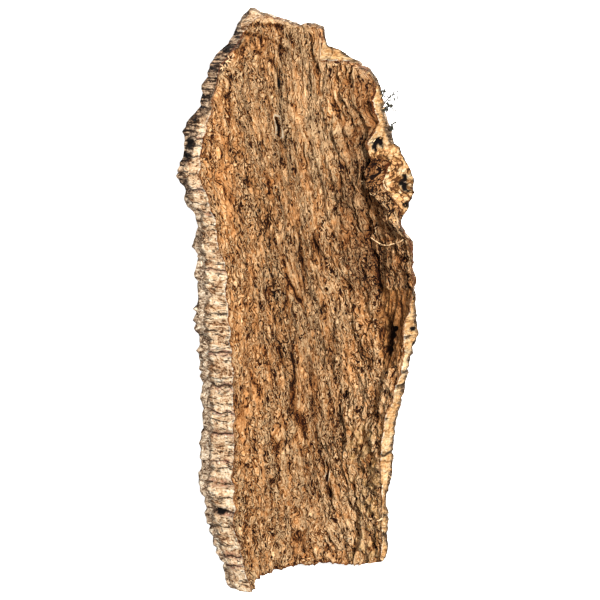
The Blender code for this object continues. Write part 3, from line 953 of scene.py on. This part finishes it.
class Nodes:
    """Short calls for building a node tree."""

    def __init__(self, tree):
        self.tree = tree

    def add(self, kind, *values, **settings):
        """A new node with its settings, and with its inputs fed in order."""
        node = self.tree.nodes.new(kind)
        for name, value in settings.items():
            setattr(node, name, value)
        for socket, value in zip(node.inputs, values):
            self.feed(socket, value)
        return node

    def feed(self, socket, value):
        if isinstance(value, bpy.types.NodeSocket):
            self.tree.links.new(value, socket)
        else:
            socket.default_value = value

    def attribute(self, name, output="Fac"):
        return self.add("ShaderNodeAttribute", attribute_name=name).outputs[output]

    def math(self, operation, *values):
        return self.add("ShaderNodeMath", *values, operation=operation).outputs[0]

    def product(self, first, *others):
        for other in others:
            first = self.math("MULTIPLY", first, other)
        return first

    def total(self, start, *terms):
        """The start with each term added: a value and its weight."""
        for value, weight in terms:
            start = self.math("MULTIPLY_ADD", value, weight, start)
        return start

    def centred(self, value):
        """Noise shifted to lie round zero."""
        return self.math("SUBTRACT", value, 0.5)

    def scaled(self, vector, scale):
        return self.add("ShaderNodeVectorMath", vector, scale, operation="MULTIPLY").outputs[0]

    def moved(self, vector, way):
        return self.add("ShaderNodeVectorMath", vector, way, operation="ADD").outputs[0]

    def curled(self, vector, scale, reach):
        """The vector, pushed about by smooth noise so that straight patterns curl."""
        push = self.noise(vector, scale, detail=1.0, roughness=0.5, output="Color")
        values = (push, (reach, reach, 0.0), vector)
        return self.add("ShaderNodeVectorMath", *values, operation="MULTIPLY_ADD").outputs[0]

    def part(self, vector, axis):
        return self.add("ShaderNodeSeparateXYZ", vector).outputs[axis]

    def noise(self, vector, scale, detail=3.0, roughness=0.55, distortion=0.0, output="Fac"):
        node = self.add("ShaderNodeTexNoise", vector)
        node.inputs["Scale"].default_value = scale
        node.inputs["Detail"].default_value = detail
        node.inputs["Roughness"].default_value = roughness
        node.inputs["Distortion"].default_value = distortion
        return node.outputs[output]

    def line(self, vector, scale, width, detail=2.0, roughness=0.5, distortion=0.0):
        """A net of wandering lines, 1 along their middle and 0 beyond their width."""
        value = self.centred(self.noise(vector, scale, detail, roughness, distortion))
        return self.fade(self.math("ABSOLUTE", value), 0.0, width)

    def scatter(self, vector, scale):
        """Distance to the nearest of a scatter of centres, and a chance for each centre."""
        node = self.add("ShaderNodeTexVoronoi", vector, feature="F1")
        node.inputs["Scale"].default_value = scale
        return node.outputs["Distance"], self.part(node.outputs["Color"], "X")

    def random(self, number):
        """A steady random value from 0 to 1 for each number."""
        node = self.add("ShaderNodeTexWhiteNoise", noise_dimensions="1D")
        self.feed(node.inputs["W"], number)
        return node.outputs["Value"]

    def spread(self, value, low, high, to_low=0.0, to_high=1.0):
        """One value up to low and another from high on, with a smooth step between them."""
        values = (value, low, high, to_low, to_high)
        return self.add("ShaderNodeMapRange", *values, interpolation_type="SMOOTHSTEP").outputs[0]

    def fade(self, value, low, high):
        """1 up to low and 0 from high on."""
        return self.spread(value, low, high, 1.0, 0.0)

    def band(self, value, start, full, fading, end):
        """1 between full and fading, and 0 before the start and after the end."""
        return self.product(self.spread(value, start, full), self.fade(value, fading, end))

    def between(self, share, low, high):
        node = self.add("ShaderNodeMix", share, data_type="FLOAT")
        self.feed(node.inputs[2], low)
        self.feed(node.inputs[3], high)
        return node.outputs[0]

    def mix(self, share, a, b, blend="MIX"):
        node = self.add("ShaderNodeMix", share, data_type="RGBA", blend_type=blend)
        self.feed(node.inputs[6], a)
        self.feed(node.inputs[7], b)
        return node.outputs[2]

    def ramp(self, value, colours):
        """The colour for each value, from rows of a place and the colour as lit."""
        node = self.add("ShaderNodeValToRGB", value)
        elements = node.color_ramp.elements
        while len(elements) < len(colours):
            elements.new(0.5)
        for element, (place, colour) in zip(elements, colours):
            element.position = place
            element.color = shaded(*colour)
        return node.outputs["Color"]


def group(name, vectors, numbers):
    """A node group for one finish: its Nodes helper, and the sockets of its inputs and its outputs."""
    tree = bpy.data.node_groups.new(name, "ShaderNodeTree")
    sockets = [(label, "INPUT", "NodeSocketVector") for label in vectors]
    sockets += [(label, "INPUT", "NodeSocketFloat") for label in numbers]
    sockets += [("Color", "OUTPUT", "NodeSocketColor")]
    sockets += [(label, "OUTPUT", "NodeSocketFloat") for label in ("Roughness", "Height")]
    for label, way, kind in sockets:
        tree.interface.new_socket(label, in_out=way, socket_type=kind)
    nodes = Nodes(tree)
    return nodes, nodes.add("NodeGroupInput").outputs, nodes.add("NodeGroupOutput").inputs


def shaded(red, green, blue):
    """The colour a surface needs to look like the one given under the studio light."""
    lit = srgb(red, green, blue)
    return (*(LIGHT_SHARE * value for value in lit[:3]), 1.0)


def inner_creases(nodes, curled):
    """Furrows and finer creases of the inner face, darkened as painted shade, and the lit edges beside them
    in painted highlight.
    """
    combed = nodes.scaled(curled, (1.0, 0.36, 1.0))
    strung = nodes.scaled(curled, (1.0, 0.24, 1.0))
    thin = nodes.noise(combed, 0.06, detail=2.0)
    furrow = nodes.line(strung, 0.15, 0.045, distortion=0.5)
    crease = nodes.line(combed, 0.33, 0.06, distortion=0.4)
    crease = nodes.product(crease, nodes.spread(thin, 0.38, 0.54, 0.4, 1.0))
    lit_furrow = nodes.line(nodes.moved(strung, LIT_SIDE), 0.15, 0.045, distortion=0.5)
    lit_crease = nodes.line(nodes.moved(combed, LIT_SIDE), 0.33, 0.05, distortion=0.4)
    lit = nodes.product(nodes.math("ADD", lit_furrow, lit_crease), nodes.spread(thin, 0.4, 0.6, 0.1, 0.4))
    busy = nodes.spread(nodes.noise(combed, 0.055, detail=3.0, roughness=0.6), 0.4, 0.6, 0.65, 1.2)
    return furrow, crease, lit, busy


def inner_finish():
    """The ridged inner face: orange-brown, ashen in places, pale on crests as painted highlight, dark in
    pits as painted shade.
    """
    numbers = ("Relief", "Folds", "Ashen", "Dusk", "Calm", "Torn", "Nodules", "Tone")
    nodes, given, out = group("ridged inner face", ("Grain",), numbers)
    curled = nodes.curled(given["Grain"], 0.13, 11.0)
    stretched = nodes.scaled(curled, (1.0, 0.62, 1.0))
    furrow, crease, lit, busy = inner_creases(nodes, curled)
    fleck = nodes.centred(nodes.noise(stretched, 0.28, detail=2.0, roughness=0.6, distortion=0.6))
    crumb = nodes.centred(nodes.noise(stretched, 0.6, detail=3.0, roughness=0.85))
    distance, chance = nodes.scatter(stretched, 0.22)
    there = nodes.spread(chance, 0.6, 0.66)
    ring = nodes.product(nodes.band(distance, 0.2, 0.26, 0.3, 0.4), there)
    pore = nodes.product(nodes.fade(distance, 0.14, 0.22), there)
    sharp = nodes.product(nodes.total(1.0, (given["Calm"], -0.35)), busy)

    # Painted highlight on the lit edges, with the speckle of fleck and crumb; painted shade in the furrows
    # and creases, and dark pores.
    grit_and_highlight = nodes.total(lit, (fleck, 0.3), (crumb, 2.0))
    dark = nodes.total(0.0, (furrow, 0.95), (crease, 0.85))
    dark = nodes.total(nodes.product(dark, nodes.total(1.0, (given["Ashen"], 0.25))), (pore, 0.8))
    # Relief and Folds darken the hollows as painted shade and pale the crests as painted highlight.
    level = nodes.total(
        0.75,
        (given["Relief"], 0.08),
        (given["Folds"], 0.012),
        (given["Tone"], 1.0),
        (given["Ashen"], -0.1),
        (nodes.math("SUBTRACT", grit_and_highlight, dark), sharp),
        (nodes.math("SUBTRACT", sharp, 1.0), 0.22),
        (ring, 0.25),
    )

    warm = nodes.spread(nodes.noise(stretched, 0.07, detail=3.0), 0.42, 0.7, 0.05, 0.45)
    warm = nodes.total(warm, (given["Calm"], 0.1))
    ashy = nodes.spread(nodes.noise(stretched, 0.11, detail=4.0, roughness=0.6), 0.52, 0.7, 0.0, 0.1)
    ashy = nodes.total(ashy, (given["Ashen"], 0.6))
    colour = nodes.mix(warm, nodes.ramp(level, TAN), nodes.ramp(level, RUST))
    colour = nodes.mix(ashy, colour, nodes.ramp(level, ASH))
    # Darker brown of the dusk zone, with painted shade in the hollow beside the lump.
    colour = nodes.mix(nodes.product(given["Dusk"], 0.8), colour, srgb(186, 172, 160), blend="MULTIPLY")
    # Yellowish nodules, paler on their tops as painted highlight.
    colour = nodes.mix(nodes.product(given["Nodules"], 0.5), colour, shaded(220, 170, 100))
    colour = nodes.mix(nodes.spread(given["Tone"], 0.4, 0.6), colour, shaded(255, 232, 198))
    strands = nodes.noise(nodes.scaled(given["Grain"], (1.0, 0.12, 1.0)), 0.6, detail=4.0, roughness=0.75)
    strands = nodes.total(0.5, (nodes.centred(strands), 1.8), (given["Relief"], 0.12))
    is_torn = nodes.spread(nodes.total(given["Torn"], (fleck, 14.0)), -1.0, 1.5, 0.0, 0.75)
    nodes.feed(out["Color"], nodes.mix(is_torn, colour, nodes.ramp(strands, TORN)))
    nodes.feed(out["Roughness"], nodes.spread(level, 0.2, 0.9, 0.9, 0.62))
    height = nodes.total(0.0, (fleck, 5.0), (crumb, 6.5), (dark, -3.0))
    height = nodes.total(nodes.product(height, sharp), (ring, 0.5))
    nodes.feed(out["Height"], nodes.product(height, nodes.spread(is_torn, 0, 1, 1.0, 0.5)))
    return nodes.tree


def rim_cracks(nodes, given, cloud, chance, gap):
    """The dark cross-cracks between the blocks of the rims, with finer ones inside the blocks."""
    broken = nodes.spread(nodes.total(chance, (cloud, 3.0)), 0.24, 0.48)
    crack = nodes.product(nodes.fade(gap, 0.02, 0.11), broken)
    wavy = nodes.scaled(nodes.curled(given["Place"], 0.12, 5.0), (0.0, 1.0, 0.26))
    hair = nodes.line(wavy, 0.13, 0.028, detail=3.0, roughness=0.65)
    there = nodes.spread(nodes.noise(given["Place"], 0.16, detail=2.0), 0.44, 0.52)
    hair = nodes.product(hair, there, nodes.total(1.0, (given["Peach"], -0.6)))
    return nodes.product(nodes.math("MAXIMUM", crack, hair), nodes.fade(given["Crumbled"], 0.1, 0.5))


def cut_finish():
    """The broken cork of the rims: cream blocks between dark cross-cracks, some with pinkish bands."""
    nodes, given, out = group("broken cork rim", ("Place",), ("Courses", "Peach", "Crumbled"))
    place, peach, crumbled = given["Place"], given["Peach"], given["Crumbled"]
    banded, ringed = nodes.scaled(place, (0.0, 1.0, 0.3)), nodes.scaled(place, (0.0, 0.16, 1.0))
    speck = nodes.centred(nodes.noise(place, 0.45, detail=3.0, roughness=0.75))
    bands = nodes.centred(nodes.noise(banded, 0.4, detail=3.0, roughness=0.75, distortion=0.4))
    cloud = nodes.centred(nodes.noise(place, 0.1, detail=3.0, roughness=0.6))
    rings = nodes.centred(nodes.noise(ringed, 0.4, detail=3.0, roughness=0.7))
    nearest = nodes.math("ROUND", given["Courses"])
    chance = nodes.random(nearest)
    tint = nodes.centred(nodes.random(nodes.math("FLOOR", nodes.math("ADD", given["Courses"], 0.37))))
    gap = nodes.math("ABSOLUTE", nodes.math("SUBTRACT", given["Courses"], nearest))
    gap = nodes.total(gap, (speck, 0.2))
    crack = rim_cracks(nodes, given, cloud, chance, gap)
    pink = nodes.product(nodes.fade(gap, 0.1, 0.4), nodes.spread(chance, 0.55, 0.7))
    pink = nodes.product(pink, nodes.spread(bands, -0.04, 0.04), nodes.total(1.0, (peach, -1.0)))
    pit, there = nodes.scatter(nodes.scaled(place, (1.0, 1.0, 1.6)), 0.2)
    pit = nodes.product(nodes.fade(pit, 0.1, 0.2), nodes.spread(there, 0.6, 0.64))
    crumb, mood = nodes.scatter(nodes.curled(place, 0.2, 5.0), 0.24)
    between = nodes.product(nodes.spread(crumb, 0.42, 0.7), crumbled)

    level = nodes.total(
        0.5,
        (bands, nodes.total(1.6, (peach, -0.7))),
        (peach, 0.08),
        (nodes.product(nodes.centred(mood), crumbled), 0.6),
        (between, -0.6),
        (speck, 1.4),
        (rings, 0.8),
        (cloud, 1.1),
        (tint, 0.2),
    )
    colour = nodes.mix(peach, nodes.ramp(level, CREAM), nodes.ramp(level, PEACH))
    colour = nodes.mix(nodes.product(pink, 0.8), colour, shaded(160, 98, 74))
    colour = nodes.mix(nodes.product(pit, 0.8), colour, shaded(104, 54, 36))
    colour = nodes.mix(nodes.product(crack, 0.9), colour, shaded(34, 16, 9))
    nodes.feed(out["Color"], colour)
    nodes.feed(out["Roughness"], nodes.spread(level, 0.1, 0.9, 0.95, 0.78))
    sunk = nodes.math("MAXIMUM", crack, pit)
    height = nodes.total(0.0, (bands, 3.4), (speck, 5.0), (sunk, -2.0), (rings, 1.5), (between, -3.0))
    nodes.feed(out["Height"], height)
    return nodes.tree


def outer_finish():
    """The outer crust: crumbly plates, near black to grey-cream, with dark furrows."""
    nodes, given, out = group("plated outer crust", ("Place",), ("Plates", "Weather_and_shade"))
    place, weathering_and_shade = given["Place"], given["Weather_and_shade"]
    rough = nodes.centred(nodes.noise(place, 0.3, detail=5.0, roughness=0.75, distortion=0.6))
    sand = nodes.centred(nodes.noise(place, 0.55, detail=2.0, roughness=0.75))
    layers = nodes.centred(nodes.noise(nodes.scaled(place, (0.1, 1.0, 0.15)), 0.5, detail=2.0))
    layered = nodes.spread(weathering_and_shade, 0.1, 0.3, 4.0, 0.0)
    level = nodes.total(0.5, (given["Plates"], 0.09), (rough, 2.4), (sand, 2.2), (layers, layered))
    patch = nodes.spread(nodes.noise(place, 0.045, detail=3.0), 0.4, 0.64, -0.2, 1.0)
    pale = nodes.total(weathering_and_shade, (patch, nodes.total(0.1, (weathering_and_shade, 0.8))))
    nodes.feed(out["Color"], nodes.mix(pale, nodes.ramp(level, CRUST_DARK), nodes.ramp(level, CRUST_PALE)))
    nodes.feed(out["Roughness"], nodes.spread(level, 0.1, 0.9, 0.98, 0.85))
    nodes.feed(out["Height"], nodes.total(0.0, (rough, 4.0), (sand, 3.0)))
    return nodes.tree


def add_finish(nodes, tree, **given):
    """A finish whose inputs are given, or else are the mesh's own facts of the same name."""
    node = nodes.add("ShaderNodeGroup", node_tree=tree)
    for socket in node.inputs:
        kind = "Vector" if socket.type == "VECTOR" else "Fac"
        fact = given[socket.name] if socket.name in given else nodes.attribute(socket.name.lower(), kind)
        nodes.feed(socket, fact)
    return node.outputs


def new_material(name):
    """A material, with its Nodes helper and its main shader."""
    material = bpy.data.materials.new(name)
    material.use_nodes = True
    return material, Nodes(material.node_tree), material.node_tree.nodes["Principled BSDF"]


def cork_material():
    """Cork bark: three finishes, set apart by how far a spot lies from the lip and the brow."""
    material, nodes, shader = new_material("cork bark")
    place = nodes.attribute("place", "Vector")
    inner = add_finish(nodes, inner_finish())
    cut = add_finish(nodes, cut_finish(), Peach=nodes.spread(nodes.part(place, "X"), -10, 10))
    outer = add_finish(nodes, outer_finish())

    ragged = nodes.centred(nodes.noise(place, 0.4, detail=4.0, roughness=0.65))
    torn = nodes.centred(nodes.noise(place, 0.2, detail=5.0, roughness=0.75))
    at_lip = nodes.total(nodes.attribute("lip"), (ragged, 4.0))
    at_brow = nodes.total(nodes.attribute("brow"), (torn, 12.0))
    is_cut = nodes.spread(at_lip, -0.25, 0.25)
    is_outer = nodes.spread(at_brow, -0.5, 0.5)
    gap = nodes.band(at_brow, -2.2, -0.2, 0.2, 1.4)
    # Painted highlight along the lip of the rims, and painted shade in a strip just inside it.
    lip_highlight = nodes.product(
        nodes.band(at_lip, 0.0, 0.4, 0.6, 1.6),
        nodes.spread(at_brow, -4.0, -2.0, 0.6, 0.0),
        nodes.spread(torn, -0.04, 0.08),
        nodes.fade(nodes.attribute("crumbled"), 0.1, 0.6),
    )
    shade = nodes.product(nodes.band(at_lip, -2.6, -0.6, -0.2, 0.1), 0.6)

    colour = nodes.mix(is_cut, inner["Color"], cut["Color"])
    colour = nodes.mix(is_outer, colour, outer["Color"])
    colour = nodes.mix(nodes.product(gap, 0.7), colour, shaded(54, 34, 22))
    colour = nodes.mix(lip_highlight, colour, shaded(255, 242, 222))
    colour = nodes.mix(shade, colour, shaded(118, 60, 26))
    # Painted shade: the holes are near black.
    colour = nodes.mix(nodes.attribute("hollow"), colour, shaded(12, 6, 4))
    roughness, height = (
        nodes.between(is_outer, nodes.between(is_cut, inner[name], cut[name]), outer[name])
        for name in ("Roughness", "Height")
    )
    relief = nodes.add("ShaderNodeBump")
    relief.inputs["Distance"].default_value = MM
    nodes.feed(relief.inputs["Height"], height)
    nodes.feed(shader.inputs["Base Color"], colour)
    nodes.feed(shader.inputs["Roughness"], roughness)
    nodes.feed(shader.inputs["Normal"], relief.outputs["Normal"])
    shader.inputs["Specular IOR Level"].default_value = 0.1
    return material


def plain_material(name, colour, roughness):
    """One colour that varies a little along each thread, leaf or crumb."""
    material, nodes, shader = new_material(name)
    place = nodes.add("ShaderNodeTexCoord").outputs["Object"]
    cloud = nodes.spread(nodes.noise(place, 400.0, detail=2.0), 0.35, 0.65)
    darker = tuple(0.45 * value for value in colour[:3]) + (1.0,)
    nodes.feed(shader.inputs["Base Color"], nodes.mix(cloud, darker, colour))
    shader.inputs["Roughness"].default_value = roughness
    return material


def floor_material():
    material, _, shader = new_material("pale floor")
    shader.inputs["Base Color"].default_value = (0.9, 0.9, 0.9, 1)
    shader.inputs["Roughness"].default_value = 0.9
    shader.inputs["Emission Color"].default_value = (1, 1, 1, 1)
    shader.inputs["Emission Strength"].default_value = 0.5
    return material


def make_floor():
    half = 6.0
    mesh = bpy.data.meshes.new("floor")
    corners = [(-half, -half, 0), (half, -half, 0), (half, half, 0), (-half, half, 0)]
    mesh.from_pydata(corners, [], [(0, 1, 2, 3)])
    mesh.materials.append(floor_material())
    return add_object("floor", mesh)


def aim(thing, place, target, up=Vector((0, 0, 1))):
    """Puts a camera or a light at place, looking at target."""
    back = (Vector(place) - Vector(target)).normalized()
    right = Vector(up).cross(back).normalized()
    turned = Matrix((right, back.cross(right), back)).transposed().to_4x4()
    thing.matrix_world = Matrix.Translation(Vector(place)) @ turned


def make_light(name, place, power, size, colour=(1, 1, 1)):
    """A square lamp with its power in watts and its size in metres, aimed at the bark."""
    light = bpy.data.lights.new(name, "AREA")
    light.energy = power
    light.size = size
    light.color = colour
    aim(add_object(name, light), place, LIGHT_TARGET)


def make_lights():
    make_light("key", (0.48, 0.6, 1.6), 84, 0.2, (1.0, 0.985, 0.96))
    make_light("fill", (-1.1, 0.1, 1.3), 16, 1.4)
    world = bpy.data.worlds.new("studio")
    world.use_nodes = True
    background = world.node_tree.nodes["Background"]
    background.inputs["Color"].default_value = (1, 1, 1, 1)
    background.inputs["Strength"].default_value = 0.42
    bpy.context.scene.world = world


def make_camera():
    """The photo looks down on the hollow, from a little towards the ragged end."""
    tilt = math.radians(12)
    distance, target = 1.2205, Vector((-0.0002, 0.0063, 0.045))
    lens = bpy.data.cameras.new("camera")
    lens.lens = 85
    lens.sensor_width = 36
    camera = add_object("camera", lens)
    place = target + distance * Vector((0, math.sin(tilt), math.cos(tilt)))
    aim(camera, place, target, up=Vector((0, 1, 0)))
    bpy.context.scene.camera = camera


bark = make_bark(cork_material())
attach(bark, "root")
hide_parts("bark")
for piece in (
    make_fibres(plain_material("pale fibre", srgb(226, 186, 138), 0.8)),
    make_moss(plain_material("dark moss", srgb(44, 42, 24), 0.9)),
    make_crumbs(plain_material("cork crumb", shaded(214, 156, 98), 0.95)),
):
    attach(piece, "root")
make_floor()
make_lights()
make_camera()
bpy.context.scene.view_settings.view_transform = "Standard"
